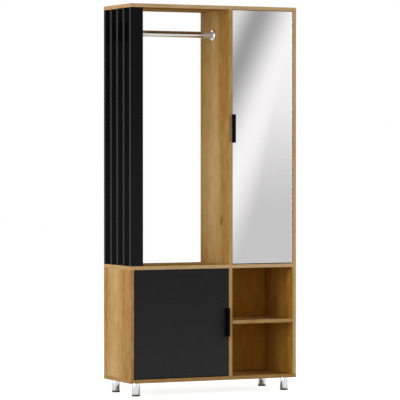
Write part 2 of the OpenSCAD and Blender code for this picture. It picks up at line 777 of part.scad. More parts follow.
// The lower flange carries the door on its plate, the upper one is thin
module bushes(x, y, z0, z1) {
    translate([x, y, z0]) bush(gap_bottom - rest_gap);
    translate([x, y, z1]) rotate([180, 0, 0]) bush(gap_top - 2 * rest_gap);
}

module mirror_bushes() {
    color(NYLON) in_frame() bushes(mirror_pivot_x, mirror_pivot_y, mirror_z0, mirror_z1);
}

module dark_bushes() {
    color(NYLON) in_frame() bushes(dark_pivot_x, dark_pivot_y, dark_z0, dark_z1);
}

// Steel plate let flush into the board, with a riveted pin that stands into the door
module pivot_plate(rise) {
    translate([0, 0, -plate_t]) difference() {
        linear_extrude(plate_t) plate_outline(plate_w);
        for (s = [plate_screw_1, plate_screw_2]) translate([0, s, 0]) screw_seat(plate_t);
    }
    translate([0, 0, -plate_t / 2]) cylinder(h = plate_t / 2 + rise, d = pivot_d);
}

module pivot_up(x, y, z) {
    color(STEEL) in_frame() translate([x, y, z]) pivot_plate(gap_bottom + pin_rise);
}

module pivot_down(x, y, z) {
    color(STEEL) in_frame() translate([x, y, z]) mirror([0, 0, 1]) pivot_plate(gap_top + pin_rise);
}

module mirror_pivot_bottom() {
    pivot_up(mirror_pivot_x, mirror_pivot_y, z_mid1);
}

module mirror_pivot_top() {
    pivot_down(mirror_pivot_x, mirror_pivot_y, z_top0);
}

module dark_pivot_bottom() {
    pivot_up(dark_pivot_x, dark_pivot_y, z_floor);
}

module dark_pivot_top() {
    pivot_down(dark_pivot_x, dark_pivot_y, z_mid0);
}

// Magnetic catch on the divider: a block with two poles towards the strike
module catch_block() {
    w = catch_size.x;
    d = catch_size.y;
    h = catch_size.z;
    difference() {
        translate([0, 0, -h / 2]) cube([w, d, h]);
        for (s = [-1, 1]) translate([3, d / 2, s * catch_screw_z]) rotate([0, 90, 0]) {
            cylinder(h = w, d = wood_head_d + 4 * fit);
            translate([0, 0, -3 - cut]) cylinder(h = w, d = wood_screw_d + 2 * fit);
            translate([0, 0, -wood_head_h])
                cylinder(h = wood_head_h, d1 = wood_screw_d + 2 * fit, d2 = wood_head_d + 2 * fit);
        }
        translate([-cut, d - 3, -h / 2 - cut]) cube([w / 2, 3 + cut, h + 2 * cut]);
    }
}

module door_catches() {
    color(BLACK) in_frame() {
        for (z = catch_mirror_z) translate([x_div1, mirror_y1 + rest_gap, z]) catch_block();
        translate([x_div0, dark_y1 + rest_gap, catch_dark_z]) mirror([1, 0, 0]) catch_block();
    }
}

// Steel strike let flush into the back of a door
module strike(x, y, z) {
    slab([x, y - strike_t, z - catch_size.z / 2], [x + strike_w, y, z + catch_size.z / 2]);
}

module mirror_strikes() {
    color(STEEL) in_frame() for (z = catch_mirror_z) strike(mirror_strike_x, mirror_y1, z);
}

module dark_strike() {
    color(STEEL) in_frame() strike(dark_strike_x, dark_y1, catch_dark_z);
}

bottom_panel();
top_panel();
mid_shelf();
left_side_panel();
right_side_panel();
lower_divider();
upper_divider();
open_shelf();
cabinet_shelf();
column_shelf(1);  // column_shelf_1
column_shelf(2);  // column_shelf_2
column_shelf(3);  // column_shelf_3
column_shelf(4);  // column_shelf_4
lower_back();
column_back();
slat(1);  // slat_1
slat(2);  // slat_2
slat(3);  // slat_3
slat(4);  // slat_4
slat(5);  // slat_5
rail_batten();
hanging_rail();
rail_socket_left();
rail_socket_right();
leg(LEG_FL);  // leg_front_left
leg(LEG_FR);  // leg_front_right
leg(LEG_BL);  // leg_back_left
leg(LEG_BR);  // leg_back_right
glide(LEG_FL);  // glide_front_left
glide(LEG_FR);  // glide_front_right
glide(LEG_BL);  // glide_back_left
glide(LEG_BR);  // glide_back_right
leg_bolts();
shelf_pins();
cam_locks();
cam_bolts();
dowels();
base_screws();
slat_screws();
wood_screws();
wall_angle();
mirror_board();
mirror_glass();
mirror_handle();
mirror_handle_screws();
mirror_bushes();
mirror_strikes();
dark_board();
dark_handle();
dark_handle_screws();
dark_bushes();
dark_strike();
mirror_pivot_bottom();
mirror_pivot_top();
dark_pivot_bottom();
dark_pivot_top();
door_catches();
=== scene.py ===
"""Looks of the wardrobe: edge-banded oak boards, black slats, a mirror door and chrome fittings."""

import json
import math

import bmesh
import bpy
from mathutils import Matrix, Vector

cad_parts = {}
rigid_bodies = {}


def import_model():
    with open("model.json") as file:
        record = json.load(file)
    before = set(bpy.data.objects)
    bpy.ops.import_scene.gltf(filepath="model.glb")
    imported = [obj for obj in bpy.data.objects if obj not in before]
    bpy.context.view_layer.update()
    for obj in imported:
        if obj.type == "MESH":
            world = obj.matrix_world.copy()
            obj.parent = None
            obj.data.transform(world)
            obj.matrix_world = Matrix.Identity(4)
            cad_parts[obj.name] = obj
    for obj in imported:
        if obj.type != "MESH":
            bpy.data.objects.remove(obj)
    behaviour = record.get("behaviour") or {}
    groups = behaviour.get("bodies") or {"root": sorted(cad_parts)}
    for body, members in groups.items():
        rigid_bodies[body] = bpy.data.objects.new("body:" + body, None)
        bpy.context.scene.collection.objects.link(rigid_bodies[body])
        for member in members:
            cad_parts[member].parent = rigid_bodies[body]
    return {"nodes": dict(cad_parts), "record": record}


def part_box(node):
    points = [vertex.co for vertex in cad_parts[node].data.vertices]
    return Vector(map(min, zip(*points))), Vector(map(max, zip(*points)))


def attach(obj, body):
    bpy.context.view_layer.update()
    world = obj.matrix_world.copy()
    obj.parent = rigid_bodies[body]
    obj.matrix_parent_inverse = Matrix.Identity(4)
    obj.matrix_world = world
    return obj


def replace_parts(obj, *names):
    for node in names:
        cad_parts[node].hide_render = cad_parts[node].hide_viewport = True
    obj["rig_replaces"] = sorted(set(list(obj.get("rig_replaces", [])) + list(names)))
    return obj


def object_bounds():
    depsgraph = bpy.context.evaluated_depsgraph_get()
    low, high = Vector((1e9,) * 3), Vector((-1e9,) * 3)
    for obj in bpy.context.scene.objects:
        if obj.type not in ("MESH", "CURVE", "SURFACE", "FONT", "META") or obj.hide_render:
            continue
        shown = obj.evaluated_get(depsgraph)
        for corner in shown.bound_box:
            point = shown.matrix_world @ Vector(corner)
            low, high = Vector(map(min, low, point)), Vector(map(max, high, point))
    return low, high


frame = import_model()
cad_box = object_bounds()

MM = 0.001
X, Y, Z = 0, 1, 2
NODE_SLOT = {part["node"]: part["material_slot"] for part in frame["record"]["subparts"]}
NODE_BODY = {
    node: body for body, nodes in frame["record"]["behaviour"]["bodies"].items() for node in nodes
}


def srgb(red, green, blue):
    """A colour given in screen values from 0 to 255, as linear values."""
    def linear(value):
        share = value / 255
        return share / 12.92 if share <= 0.04045 else ((share + 0.055) / 1.055) ** 2.4
    return (linear(red), linear(green), linear(blue), 1.0)


def scaled(colour, factor):
    """A colour made darker or paler, no channel above 1."""
    return [min(1.0, channel * factor) for channel in colour[:3]] + [1.0]


def middle(low, high):
    return (low + high) / 2


class Value:
    """A number that varies over a surface, for use in plain expressions."""

    def __init__(self, finish, socket):
        self.finish = finish
        self.socket = socket

    def __add__(self, other):
        return self.finish.maths("ADD", self, other)

    def __sub__(self, other):
        return self.finish.maths("SUBTRACT", self, other)

    def __rsub__(self, other):
        return self.finish.maths("SUBTRACT", other, self)

    def __mul__(self, other):
        return self.finish.maths("MULTIPLY", self, other)

    __radd__ = __add__
    __rmul__ = __mul__


class Finish:
    """A material on a Principled shader, or the world, with its nodes made by one method."""

    def __init__(self, name=None, owner=None, **sockets):
        self.owner = owner or bpy.data.materials.new(name)
        self.owner.use_nodes = True
        self.tree = self.owner.node_tree
        self.shader = self.tree.nodes.get("Principled BSDF")
        for socket, value in sockets.items():
            self.shader.inputs[socket.replace("_", " ")].default_value = value

    def node(self, kind, settings=None, **sockets):
        """Adds a node, sets its settings, then its inputs from values, colours or links."""
        node = self.tree.nodes.new(kind)
        for name, value in (settings or {}).items():
            if name == "stops":
                set_stops(node.color_ramp, value)
            else:
                setattr(node, name, value)
        for name, value in sockets.items():
            key = int(name[1:]) if name[0] == "_" else name.replace("_", " ")
            self.feed(node.inputs[key], value)
        return node

    def feed(self, socket, value):
        """Links a value or an output to a socket, or sets the socket to a constant."""
        if isinstance(value, Value):
            self.tree.links.new(value.socket, socket)
        elif isinstance(value, bpy.types.NodeSocket):
            self.tree.links.new(value, socket)
        else:
            socket.default_value = value

    def vary(self, socket, value):
        """Links what changes over the surface to a socket of the shader."""
        self.feed(self.shader.inputs[socket], value)

    def replace_shader(self, shader):
        """Puts another shader in the place of the Principled one."""
        self.tree.nodes.remove(self.shader)
        self.feed(self.tree.nodes["Material Output"].inputs["Surface"], shader.outputs[0])

    def maths(self, operation, first, second=0.0):
        node = self.node("ShaderNodeMath", {"operation": operation}, _0=first, _1=second)
        return Value(self, node.outputs[0])

    def place(self):
        return self.node("ShaderNodeTexCoord").outputs["Object"]

    def along(self, vector, axis):
        """One coordinate of a vector."""
        return Value(self, self.node("ShaderNodeSeparateXYZ", Vector=vector).outputs[axis])

    def ray(self, kind):
        """1 for rays of one kind, such as Is Camera Ray, and 0 for the others."""
        return Value(self, self.node("ShaderNodeLightPath").outputs[kind])

    def stretched(self, vector, scale=(1.0, 1.0, 1.0), turn=(0.0, 0.0, 0.0)):
        node = self.node("ShaderNodeMapping", Vector=vector, Scale=scale, Rotation=turn)
        return node.outputs["Vector"]

    def noise(self, vector, scale, detail=3.0, roughness=0.55, distortion=0.0):
        node = self.node(
            "ShaderNodeTexNoise", Vector=vector, Scale=scale, Detail=detail,
            Roughness=roughness, Distortion=distortion,
        )
        return Value(self, node.outputs["Fac"])

    def grained(self, vector, stretch, detail=3.0, roughness=0.55, distortion=0.0):
        """Noise that is drawn out along one axis, as a grain is."""
        return self.noise(self.stretched(vector, stretch), 1.0, detail, roughness, distortion)

    def band(self, value, low, high, out_low=0.0, out_high=1.0):
        """Maps a span of a value smoothly to another span."""
        node = self.node(
            "ShaderNodeMapRange", {"interpolation_type": "SMOOTHSTEP"}, Value=value,
            From_Min=low, From_Max=high, To_Min=out_low, To_Max=out_high,
        )
        return Value(self, node.outputs["Result"])

    def ramp(self, value, stops):
        return self.node("ShaderNodeValToRGB", {"stops": stops}, Fac=value).outputs["Color"]

    def tint(self, share, first, second, blend="MIX"):
        """Mixes two colours."""
        node = self.node(
            "ShaderNodeMix", {"data_type": "RGBA", "blend_type": blend},
            _0=share, _6=first, _7=second,
        )
        return node.outputs[2]

    def bump(self, height, strength, distance):
        node = self.node("ShaderNodeBump", Height=height, Strength=strength, Distance=distance)
        self.vary("Normal", node.outputs["Normal"])


def set_stops(ramp, stops):
    while len(ramp.elements) < len(stops):
        ramp.elements.new(0.5)
    for element, (position, colour) in zip(ramp.elements, stops):
        element.position = position
        element.color = colour


# Oak foil: darker heartwood to the front, painted shade making it darker towards the rear, a slow
# swell along the grain, mottles, streaks, fibres, pores, a few dark flecks and one knot
OAK_LIGHT = srgb(208, 172, 123)
OAK_MIDDLE = srgb(187, 149, 95)
OAK_DARK = srgb(159, 117, 60)
OAK_FLECK = srgb(112, 72, 32)
OAK_SHINE = 0.0
OAK_ROUGH = 0.42
FIBRE_ROUGH = 0.16

# How finely each part of the figure repeats, across the grain twice and then along it
SWAY_STRETCH = (1.2, 1.2, 1.6)
BROAD_STRETCH = (9.0, 9.0, 0.9)
MOTTLE_STRETCH = (30.0, 30.0, 15.0)
STREAK_STRETCH = (48.0, 48.0, 2.6)
FLECK_STRETCH = (170.0, 170.0, 15.0)
GRAIN_STRETCH = (210.0, 210.0, 8.0)
FIBRE_STRETCH = (700.0, 700.0, 24.0)
PORE_STRETCH = (900.0, 900.0, 55.0)

# How much each part of the figure counts, and how strong the whole is
BROAD_SHARE = 0.3
MOTTLE_SHARE = 0.36
STREAK_SHARE = 0.16
GRAIN_SHARE = 0.12
RING_SHARE = 0.06
FIGURE = 2.1
RINGS = 70.0
SWAY = 0.05

# Paleness through a board's depth and along its grain; the fall towards the rear is painted shade
HEART_FRONT = -0.1
HEART_END = 0.03
HEART_WANDER = 0.12
HEART_DARK = 0.14
HEART_PALE = 0.8
REAR_SHADE_START = 0.03
REAR_SHADE_END = 0.2
REAR_SHADE_FALL = 0.55
SWELL = 0.2
SWELL_PALE = 1.1
SWELL_PITCH = 1.1

# Dark marks: the values of their noise from which they start and are full, and their strength
PORE_START, PORE_FULL, PORE_DARK = 0.6, 0.7, 0.26
FLECK_START, FLECK_FULL, FLECK_DARK = 0.72, 0.8, 0.5
KNOT_HEART, KNOT_RIM, KNOT_DARK = 0.4, 1.3, 0.6
KNOT_PLACE = (0.0, -0.069, 0.847)
KNOT_SPREAD = (0.0, 58.0, 38.0)

ALONG_X = (0.0, math.radians(90), 0.0)
ALONG_Y = (math.radians(90), 0.0, 0.0)
ALONG_Z = (0.0, 0.0, 0.0)


def oak(name, grain, tone=None, level=None):
    """Oak foil with its grain along one axis: paleness that varies over a board, or one level."""
    finish = Finish(name, Specular_IOR_Level=OAK_SHINE)
    spot = finish.place()
    turned_spot = finish.stretched(spot, turn=grain)
    sway = finish.grained(turned_spot, SWAY_STRETCH, 1.0) * SWAY - SWAY / 2
    swing = finish.node("ShaderNodeCombineXYZ", X=sway, Y=sway).outputs[0]
    swayed = finish.node("ShaderNodeVectorMath", _0=turned_spot, _1=swing).outputs[0]
    broad = finish.grained(swayed, BROAD_STRETCH, 2.0, 0.5)
    mottles = finish.grained(swayed, MOTTLE_STRETCH, 4.0, 0.6, 0.6)
    streaks = finish.grained(swayed, STREAK_STRETCH, 4.0, 0.6)
    grains = finish.grained(swayed, GRAIN_STRETCH)
    fibres = finish.grained(swayed, FIBRE_STRETCH, 2.0)
    rings = finish.maths("SINE", broad * RINGS) * 0.5 + 0.5
    figure = (
        broad * BROAD_SHARE + mottles * MOTTLE_SHARE + streaks * STREAK_SHARE
        + grains * GRAIN_SHARE + rings * RING_SHARE - 0.5
    )
    if level is None:
        depth = finish.along(spot, Y)
        wandering = depth + broad * HEART_WANDER - HEART_WANDER / 2
        level = finish.band(wandering, HEART_FRONT, HEART_END, HEART_DARK, HEART_PALE)
        phase = (finish.along(turned_spot, Z) - SWELL_PALE) * (math.tau / SWELL_PITCH)
        level = level * (finish.maths("COSINE", phase + broad) * SWELL + 1)
        # painted shade: the oak darker towards the rear, where the boards lie in shade
        level = level - finish.band(depth, REAR_SHADE_START, REAR_SHADE_END, 0.0, REAR_SHADE_FALL)
    stops = [(0.0, OAK_DARK), (0.5, OAK_MIDDLE), (1.0, OAK_LIGHT)]
    wood = finish.ramp(figure * FIGURE + level, stops)
    pores = finish.band(finish.grained(swayed, PORE_STRETCH, 2.0), PORE_START, PORE_FULL)
    flecks = finish.band(
        finish.grained(swayed, FLECK_STRETCH, 1.0, 0.5, 0.3), FLECK_START, FLECK_FULL
    )
    offset = finish.node(
        "ShaderNodeVectorMath", {"operation": "DISTANCE"}, _0=finish.stretched(spot, KNOT_SPREAD),
        _1=[place * spread for place, spread in zip(KNOT_PLACE, KNOT_SPREAD)],
    )
    ragged = Value(finish, offset.outputs["Value"]) + mottles - 0.5
    knot = finish.band(ragged, KNOT_HEART, KNOT_RIM, KNOT_DARK, 0.0)
    wood = finish.tint(pores * PORE_DARK + flecks * FLECK_DARK + knot, wood, OAK_FLECK)
    if tone:
        wood = finish.tint(1.0, wood, (*tone, 1.0), "MULTIPLY")
    finish.vary("Base Color", wood)
    finish.vary("Roughness", fibres * FIBRE_ROUGH + OAK_ROUGH)
    finish.bump(fibres * 0.5 - pores * 0.5, strength=0.2, distance=0.2 * MM)
    return finish.owner


FOIL_STRETCH = (420.0, 420.0, 14.0)
FOIL_CLOUD = 5.0
FOIL_GRAIN_SHARE, FOIL_CLOUD_SHARE = 0.4, 0.2
FOIL_ROUGH = 0.14
SHEEN_GRAIN, SHEEN_RISE = 0.5, 0.7


def foil(name, colour, paler, roughness, shine, painted_sheen=None):
    """Dark furniture foil with a fine upright grain, and a painted sheen making it paler from one
    height down to another.
    """
    finish = Finish(name, Specular_IOR_Level=shine)
    fibres = finish.grained(finish.place(), FOIL_STRETCH)
    cloud = finish.noise(finish.place(), FOIL_CLOUD, 2.0)
    share = fibres * FOIL_GRAIN_SHARE + cloud * FOIL_CLOUD_SHARE
    if painted_sheen:
        # painted sheen: paler towards the floor, standing in for the reflected pale floor
        height = finish.along(finish.place(), Z)
        share = share * SHEEN_GRAIN + finish.band(height, *painted_sheen, 0.0, SHEEN_RISE)
    finish.vary("Base Color", finish.tint(share, colour, paler))
    finish.vary("Roughness", fibres * FOIL_ROUGH + (roughness - FOIL_ROUGH / 2))
    finish.bump(fibres, strength=0.18, distance=0.3 * MM)
    return finish.owner


HARDBOARD_DARK = srgb(128, 96, 62)
HARDBOARD_PALE = srgb(166, 131, 91)
HARDBOARD_STRETCH = (260.0, 260.0, 160.0)
HARDBOARD_CLOUD = 9.0


def hardboard(name):
    """The bare brown back of a thin sheet, pressed from fibres."""
    finish = Finish(name, Specular_IOR_Level=0.1)
    fibres = finish.grained(finish.place(), HARDBOARD_STRETCH, 4.0, 0.7, 1.0)
    clouds = finish.noise(finish.place(), HARDBOARD_CLOUD)
    share = fibres * 0.6 + clouds * 0.4
    finish.vary("Base Color", finish.tint(share, HARDBOARD_DARK, HARDBOARD_PALE))
    finish.vary("Roughness", fibres * 0.2 + 0.6)
    finish.bump(fibres, strength=0.3, distance=0.3 * MM)
    return finish.owner


WEAR = 0.4
WEAR_DARK = 0.86
DULL_FROM, DULL_FULL = 0.09, 0.045
DULL_RISE = 0.34
END_SHEEN_PALE = 0.55


def metal(name, colour, roughness, spread, scale, rubbed_and_sheen_tube=None):
    """Plated or bare metal, faintly clouded; a rubbed tube duller towards its ends, and paler there
    as a painted reflection.
    """
    finish = Finish(name, Metallic=1.0)
    cloud = finish.noise(finish.place(), scale)
    finish.vary("Base Color", finish.tint(cloud * WEAR, colour, scaled(colour, WEAR_DARK)))
    shine = cloud * spread + roughness
    if rubbed_and_sheen_tube:
        low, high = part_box(rubbed_and_sheen_tube)
        half = (high.x - low.x) / 2
        away = finish.maths("ABSOLUTE", finish.along(finish.place(), X) - middle(low.x, high.x))
        dull_and_sheen = finish.band(away, half - DULL_FROM, half - DULL_FULL)
        shine = shine + dull_and_sheen * DULL_RISE
        # painted reflection: the tube's ends less metallic and so paler
        finish.vary("Metallic", 1 - dull_and_sheen * END_SHEEN_PALE)
    finish.vary("Roughness", shine)
    return finish.owner


PEEL_SHARE = 0.5
PEEL_PALE = 1.35
PEEL_ROUGH = 0.15


def coated(name, colour, roughness, grain, depth, shine):
    """Powder coat or moulded plastic with a fine orange-peel surface."""
    finish = Finish(name, Specular_IOR_Level=shine)
    peel = finish.noise(finish.place(), grain, 2.0)
    finish.vary("Base Color", finish.tint(peel * PEEL_SHARE, colour, scaled(colour, PEEL_PALE)))
    finish.vary("Roughness", peel * PEEL_ROUGH + roughness)
    finish.bump(peel, strength=0.3, distance=depth)
    return finish.owner


HAZE = 2.2


def silvered(name):
    """Silvered glass with a hardly visible haze."""
    finish = Finish(name, Metallic=1.0, Roughness=0.01)
    haze = finish.noise(finish.place(), HAZE, 2.0)
    finish.vary("Base Color", finish.tint(haze, srgb(252, 250, 250), srgb(249, 247, 248)))
    return finish.owner


PLAIN_LEVEL = 0.5
OAK_UPRIGHT = oak("oak_upright", ALONG_Z)
# The flat boards' tops and undersides carry a darker, warmer tone as painted shade
OAK_FLAT_SHADED = oak("oak_flat_shaded", ALONG_X, tone=(0.95, 0.88, 0.68))
# The compartments' inner walls carry a deeper, yellower tone as painted shade
OAK_INNER_SHADED = oak("oak_inner_wall_shaded", ALONG_Z, tone=(1.06, 0.94, 0.45))
HARDBOARD = hardboard("bare_hardboard")
SOCKET_SATIN = metal("socket_satin", srgb(240, 239, 237), roughness=0.3, spread=0.1, scale=30.0)
# The slats' side edges: a black edge band, painted paler than the foil as light from the left
BLACK_BAND_PAINTED_LIGHT = foil(
    "black_edge_band_painted_light", srgb(51, 51, 52), srgb(60, 60, 61), roughness=0.6, shine=0.02
)

# Finishes of single nodes, and of every other node by its slot
NODE_FINISHES = {
    "upper_divider": oak("oak_divider", ALONG_Z, tone=(0.98, 0.955, 0.86)),
    "rail_socket_left": SOCKET_SATIN,
    "rail_socket_right": SOCKET_SATIN,
}
SLOT_FINISHES = {
    # Back sheet: a browner oak foil, its deep orange tone partly painted shade of the dim
    # compartments
    "back_sheet": oak("oak_back_sheet", ALONG_Z, tone=(0.97, 0.79, 0.25), level=PLAIN_LEVEL),
    "beech_dowel": oak("beech_dowel", ALONG_Z, tone=(1.12, 1.12, 1.16), level=PLAIN_LEVEL),
    "black_laminate": foil(
        "black_foil", srgb(9, 9, 9), srgb(29, 29, 30), roughness=0.6, shine=0.05, painted_sheen=(1.6, 0.7)
    ),
    "charcoal_laminate": foil(
        "charcoal_foil", srgb(30, 30, 31), srgb(48, 48, 49),
        roughness=0.65, shine=0.08, painted_sheen=(0.6, 0.1),
    ),
    "mirror_backing": foil(
        "mirror_door_foil", srgb(33, 33, 35), srgb(41, 41, 42), roughness=0.65, shine=0.08
    ),
    "mirror": silvered("mirror_silver"),
    "chrome_rail": metal(
        "rail_chrome", srgb(226, 225, 222),
        roughness=0.05, spread=0.05, scale=30.0, rubbed_and_sheen_tube="hanging_rail",
    ),
    "chrome_leg": metal(
        "leg_chrome", srgb(236, 237, 239), roughness=0.06, spread=0.06, scale=30.0
    ),
    "zinc_steel": metal(
        "zinc_steel", srgb(186, 189, 194), roughness=0.26, spread=0.18, scale=120.0
    ),
    "black_handle": coated(
        "handle_black", srgb(10, 10, 12), roughness=0.6, grain=900.0, depth=0.05 * MM, shine=0.03
    ),
    "black_plastic": coated(
        "plastic_black", srgb(56, 56, 57), roughness=0.4, grain=700.0, depth=0.1 * MM, shine=0.5
    ),
    "black_nylon": coated(
        "black_nylon", srgb(20, 20, 21), roughness=0.45, grain=500.0, depth=0.05 * MM, shine=0.1
    ),
}

# Edge bands: their tone, how pale they are on each board and on the boards' ends; the paleness per
# board is painted light and shade
BAND_TONE = (1.0, 1.05, 1.18)
BAND_LEVEL = 0.38
BAND_PAINTED_LEVELS = {
    "top_panel": 0.74, "mid_shelf": 0.74, "bottom_panel": 0.2,
    "right_side_panel": 0.6, "left_side_panel": 0.14,
}
END_LEVEL = 0.58
OAK_BANDS = {}


def oak_band(grain, level):
    """The oak edge band of a grain direction and paleness, made once."""
    if (grain, level) not in OAK_BANDS:
        OAK_BANDS[grain, level] = oak("oak_band_%d" % len(OAK_BANDS), grain, BAND_TONE, level)
    return OAK_BANDS[grain, level]


FLAT_BOARDS = ("bottom_panel", "top_panel", "mid_shelf", "open_shelf", "cabinet_shelf")


def finish_of(node):
    if node in NODE_FINISHES:
        return NODE_FINISHES[node]
    if NODE_SLOT[node] == "oak_laminate":
        flat = node in FLAT_BOARDS or node.startswith("column_shelf")
        return OAK_FLAT_SHADED if flat else OAK_UPRIGHT
    return SLOT_FINISHES[NODE_SLOT[node]]


def keep(piece, node):
    """Puts a finished piece in the place of a CAD node, on the node's body and slot."""
    piece.data.materials.clear()
    piece.data.materials.append(finish_of(node))
    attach(piece, NODE_BODY[node])
    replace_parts(piece, node)
    return piece


def piece_from(mesh, name):
    data = bpy.data.meshes.new(name)
    mesh.to_mesh(data)
    mesh.free()
    piece = bpy.data.objects.new(name, data)
    bpy.context.scene.collection.objects.link(piece)
    return piece


WELD = 0.005 * MM
SPIN_WELD = 0.001 * MM
LEVEL_TURN = math.radians(0.5)
SHARP_TURN = math.radians(32)
CORNER_TURN = math.radians(80)
SHORTEST = 12 * MM
SHORTEST_ON_HANDLE = 8 * MM
LOOKING = 0.3


def shade(mesh):
    """Smooths every face and keeps the true corners sharp."""
    for face in mesh.faces:
        face.smooth = True
    for edge in mesh.edges:
        edge.smooth = len(edge.link_faces) == 2 and edge.calc_face_angle(math.pi) < SHARP_TURN


def welded(node):
    """A merged copy of a CAD node."""
    mesh = bmesh.new()
    mesh.from_mesh(frame["nodes"][node].data)
    bmesh.ops.remove_doubles(mesh, verts=mesh.verts, dist=WELD)
    return mesh


def whole_faces(mesh):
    """Joins the triangles of each flat face."""
    bmesh.ops.dissolve_limit(
        mesh, angle_limit=LEVEL_TURN, verts=mesh.verts, edges=mesh.edges, delimit=set()
    )


def eased(node, radius, shortest=SHORTEST):
    """Rounds the long outer corners of a copy of a CAD node, as an edge band is rounded."""
    mesh = welded(node)
    whole_faces(mesh)
    corners = [
        edge for edge in mesh.edges
        if len(edge.link_faces) == 2 and edge.is_convex and edge.calc_length() > shortest
        and edge.calc_face_angle(0.0) > CORNER_TURN
    ]
    bmesh.ops.bevel(
        mesh, geom=corners, offset=radius, offset_type="OFFSET", segments=2, profile=0.5,
        affect="EDGES", material=-1, clamp_overlap=True, loop_slide=False,
    )
    shade(mesh)
    piece = piece_from(mesh, node + "_eased")
    # Wide flat faces stay flat beside the rounding, so that they reflect truly
    level = piece.modifiers.new("level_faces", "WEIGHTED_NORMAL")
    level.keep_sharp = True
    level.weight = 100
    return piece


def cover(board, finish, *ways):
    """Gives the faces of a board that look in some directions, rounding included, a finish."""
    board.data.materials.append(finish)
    for face in board.data.polygons:
        if max(face.normal.dot(way) for way in ways) > LOOKING:
            face.material_index = len(board.data.materials) - 1


# Boards with edge bands, slats, doors and the batten
BOARD_EDGE = 0.8 * MM
LEFT, RIGHT = Vector((-1, 0, 0)), Vector((1, 0, 0))
FRONT, REAR = Vector((0, -1, 0)), Vector((0, 1, 0))
BOARD_SLOTS = ("oak_laminate", "black_laminate", "charcoal_laminate", "mirror_backing")
INNER_WALLS = {"lower_divider": RIGHT, "right_side_panel": LEFT}
for node, slot in NODE_SLOT.items():
    if slot in BOARD_SLOTS:
        board = keep(eased(node, BOARD_EDGE), node)
        if slot == "black_laminate":
            cover(board, BLACK_BAND_PAINTED_LIGHT, LEFT, RIGHT)
        elif slot == "oak_laminate":
            # front and rear edges paler or darker per board, as painted light and shade
            level = BAND_PAINTED_LEVELS.get(node, BAND_LEVEL)
            if finish_of(node) is OAK_FLAT_SHADED:
                cover(board, oak_band(ALONG_X, level), FRONT, REAR)
                cover(board, oak_band(ALONG_Y, min(level, END_LEVEL)), LEFT, RIGHT)
            else:
                if node in INNER_WALLS:
                    # inner faces of the compartments get the painted-shade tone
                    cover(board, OAK_INNER_SHADED, INNER_WALLS[node])
                cover(board, oak_band(ALONG_Z, level), FRONT, REAR)

# Back sheets: oak foil in front, bare hardboard behind
for node in ("lower_back", "column_back"):
    mesh = welded(node)
    shade(mesh)
    cover(keep(piece_from(mesh, node + "_sheet"), node), HARDBOARD, REAR)

# Mirror glass with a ground arris, and the door handles
GLASS_ARRIS = 0.6 * MM
HANDLE_EDGE = 0.3 * MM
keep(eased("mirror_glass", GLASS_ARRIS), "mirror_glass")
for node in ("mirror_handle", "dark_handle"):
    keep(eased(node, HANDLE_EDGE, SHORTEST_ON_HANDLE), node)

# Legs: thin tubes with a solid head for the bolt
LEG_WALL = 1.5 * MM
LEG_HEAD = 25 * MM
LEG_LIP = 0.6 * MM
LEG_STEPS = 96
LIP_STEPS = 6


def turned(profile, name, at):
    """Spins a profile of (radius, height) points about the upright line through a point."""
    mesh = bmesh.new()
    points = [mesh.verts.new((radius, 0.0, height)) for radius, height in profile]
    edges = [mesh.edges.new(pair) for pair in zip(points, points[1:])]
    bmesh.ops.spin(
        mesh, geom=points + edges, cent=(0, 0, 0), axis=(0, 0, 1), dvec=(0, 0, 0),
        angle=math.tau, steps=LEG_STEPS, use_merge=True, use_duplicate=False,
    )
    bmesh.ops.remove_doubles(mesh, verts=mesh.verts, dist=SPIN_WELD)
    bmesh.ops.recalc_face_normals(mesh, faces=mesh.faces)
    bmesh.ops.transform(mesh, matrix=Matrix.Translation(at), verts=mesh.verts)
    shade(mesh)
    return piece_from(mesh, name)


def arc(centre, radius, start, end):
    """Points of a profile's round corner, angles in degrees."""
    angles = [math.radians(start + (end - start) * i / LIP_STEPS) for i in range(LIP_STEPS + 1)]
    return [
        (centre[0] + radius * math.cos(angle), centre[1] + radius * math.sin(angle))
        for angle in angles
    ]


for corner in ("front_left", "front_right", "back_left", "back_right"):
    low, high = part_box("leg_" + corner)
    centre = middle(low, high)
    radius = (high.x - low.x) / 2
    head = high.z - LEG_HEAD
    profile = (
        [(0.0, head), (radius - LEG_WALL, head), (radius - LEG_WALL, low.z)]
        + arc((radius - LEG_LIP, low.z + LEG_LIP), LEG_LIP, -90, 0)
        + arc((radius - LEG_LIP, high.z - LEG_LIP), LEG_LIP, 0, 90) + [(0.0, high.z)]
    )
    foot = Vector((centre.x, centre.y, 0.0))
    keep(turned(profile, "leg_tube_" + corner, foot), "leg_" + corner)

# Screws: a cross for the driver in each head, in shares of the head's radius
CROSS_ARM = 0.6
CROSS_HALF = 0.13
CROSS_DEPTH = 0.4
CROSS_TAPER = 0.7
CROSS_TURN = math.radians(137.5)
CROSS = [
    (CROSS_ARM, CROSS_HALF), (CROSS_HALF, CROSS_HALF), (CROSS_HALF, CROSS_ARM),
    (-CROSS_HALF, CROSS_ARM), (-CROSS_HALF, CROSS_HALF), (-CROSS_ARM, CROSS_HALF),
    (-CROSS_ARM, -CROSS_HALF), (-CROSS_HALF, -CROSS_HALF), (-CROSS_HALF, -CROSS_ARM),
    (CROSS_HALF, -CROSS_ARM), (CROSS_HALF, -CROSS_HALF), (CROSS_ARM, -CROSS_HALF),
]
CROSSED = (
    "base_screws", "slat_screws", "wood_screws", "mirror_handle_screws", "dark_handle_screws",
)


def islands(mesh):
    """The separate solids of a mesh, each as a list of its faces."""
    visited = set()
    groups = []
    for start in mesh.faces:
        if start in visited:
            continue
        visited.add(start)
        group = [start]
        for face in group:
            for edge in face.edges:
                for neighbour in edge.link_faces:
                    if neighbour not in visited:
                        visited.add(neighbour)
                        group.append(neighbour)
        groups.append(group)
    return groups


